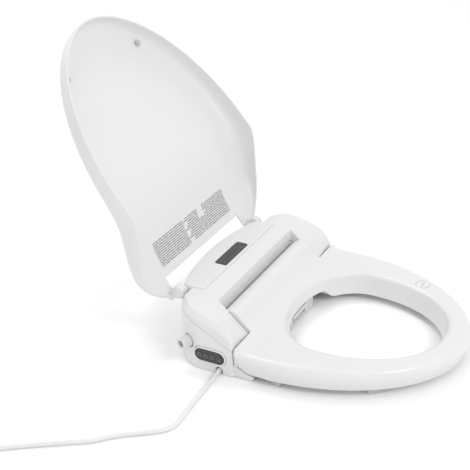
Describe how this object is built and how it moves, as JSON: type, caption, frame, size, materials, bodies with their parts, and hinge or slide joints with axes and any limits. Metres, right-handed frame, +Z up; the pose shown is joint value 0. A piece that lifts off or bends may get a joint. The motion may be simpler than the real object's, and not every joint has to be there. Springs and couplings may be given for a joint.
{
  "type": "electric bidet seat",
  "caption": "Electric bidet seat with hinged lid and warmed seat, sliding wash nozzles, side push buttons, water inlet and mains lead.",
  "frame": {"origin": "on the bowl deck, in the middle of the underside of the mounting plate, on the plane of symmetry of seat and lid", "axes": "+Z up, -Y towards the front tip of the seat, -X towards the side with the buttons, water inlet and mains lead"},
  "size_m": [0.7559, 0.7379, 0.489],
  "materials": {
    "white_gloss": "gloss white moulding",
    "white_satin": "satin white moulding",
    "charcoal": "dark smoked gloss",
    "grey_button": "satin grey",
    "pale_rubber": "soft matte",
    "steel": "satin",
    "board": "lacquered circuit board",
    "copper_film": "thin heating film",
    "dark_plastic": "matte"
  },
  "bodies": {
    "rear_unit": {"mount_plate": "steel", "lower_case": "white_gloss", "upper_cover": "white_gloss", "centre_panel": "white_gloss", "display_window": "charcoal", "display_board": "board", "control_bezel": "white_gloss", "control_panel": "charcoal", "control_board": "board", "nozzle_housing": "white_satin", "nozzle_guide": "dark_plastic", "nozzle_motor_left": "dark_plastic", "nozzle_motor_right": "dark_plastic", "inlet_connector": "white_gloss", "solenoid_valve": "dark_plastic", "inlet_hose": "pale_rubber", "water_tank": "white_satin", "blower_housing": "dark_plastic", "dryer_duct": "white_satin", "main_board": "board", "transformer": "steel", "seat_damper": "dark_plastic", "lid_damper": "dark_plastic", "cord_relief": "white_gloss", "cord_tube": "white_gloss", "cord_coil": "white_gloss", "cord_tie": "dark_plastic", "cord_tail": "white_gloss", "plug_body": "white_gloss", "plug_pin_left": "steel", "plug_pin_right": "steel", "plug_pin_earth": "steel"},
    "lid": {"lid_shell": "white_gloss", "lid_bumper_left": "pale_rubber", "lid_bumper_right": "pale_rubber", "lid_pin_left": "steel", "lid_pin_right": "steel"},
    "seat": {"seat_shell": "white_gloss", "seat_base": "white_satin", "seat_heater": "copper_film", "seat_bumper_rear_left": "pale_rubber", "seat_bumper_rear_right": "pale_rubber", "seat_bumper_front_left": "pale_rubber", "seat_bumper_front_right": "pale_rubber", "seat_pin_left": "steel", "seat_pin_right": "steel"},
    "button_1": {"button_1": "grey_button"},
    "button_2": {"button_2": "grey_button"},
    "button_3": {"button_3": "grey_button"},
    "button_4": {"button_4": "grey_button"},
    "nozzle_left": {"nozzle_left": "white_satin"},
    "nozzle_right": {"nozzle_right": "white_satin"},
    "nozzle_gate": {"nozzle_gate": "white_satin"},
    "blower_impeller": {"blower_impeller": "white_satin"}
  },
  "joints": [
    {"name": "lid_hinge", "type": "hinge", "parent": "rear_unit", "child": "lid", "pos_m": [0, 0.026, 0.097], "axis": [-1, 0, 0], "range_deg": [-129.8, 0]},
    {"name": "seat_hinge", "type": "hinge", "parent": "rear_unit", "child": "seat", "pos_m": [0, -0.068, 0.062], "axis": [-1, 0, 0], "range_deg": [0, 100]},
    {"name": "nozzle_left_slide", "type": "slide", "parent": "rear_unit", "child": "nozzle_left", "axis": [0, -0.9744, -0.225], "range_m": [0, 0.08]},
    {"name": "nozzle_right_slide", "type": "slide", "parent": "rear_unit", "child": "nozzle_right", "axis": [0, -0.9744, -0.225], "range_m": [0, 0.08]},
    {"name": "button_1_press", "type": "slide", "parent": "rear_unit", "child": "button_1", "axis": [1, 0, 0], "range_m": [0, 0.0015], "stiffness_N_per_m": 300},
    {"name": "button_2_press", "type": "slide", "parent": "rear_unit", "child": "button_2", "axis": [1, 0, 0], "range_m": [0, 0.0015], "stiffness_N_per_m": 300},
    {"name": "button_3_press", "type": "slide", "parent": "rear_unit", "child": "button_3", "axis": [1, 0, 0], "range_m": [0, 0.0015], "stiffness_N_per_m": 300},
    {"name": "button_4_press", "type": "slide", "parent": "rear_unit", "child": "button_4", "axis": [1, 0, 0], "range_m": [0, 0.0015], "stiffness_N_per_m": 300},
    {"name": "nozzle_gate_flap", "type": "hinge", "parent": "rear_unit", "child": "nozzle_gate", "pos_m": [0, -0.1279, 0.0246], "axis": [-1, 0, 0], "range_deg": [0, 70], "stiffness_Nm_per_rad": 0.002},
    {"name": "blower_spin", "type": "hinge", "parent": "rear_unit", "child": "blower_impeller", "pos_m": [-0.086, -0.01, 0.041], "axis": [0, 0, 1], "continuous": true}
  ]
}
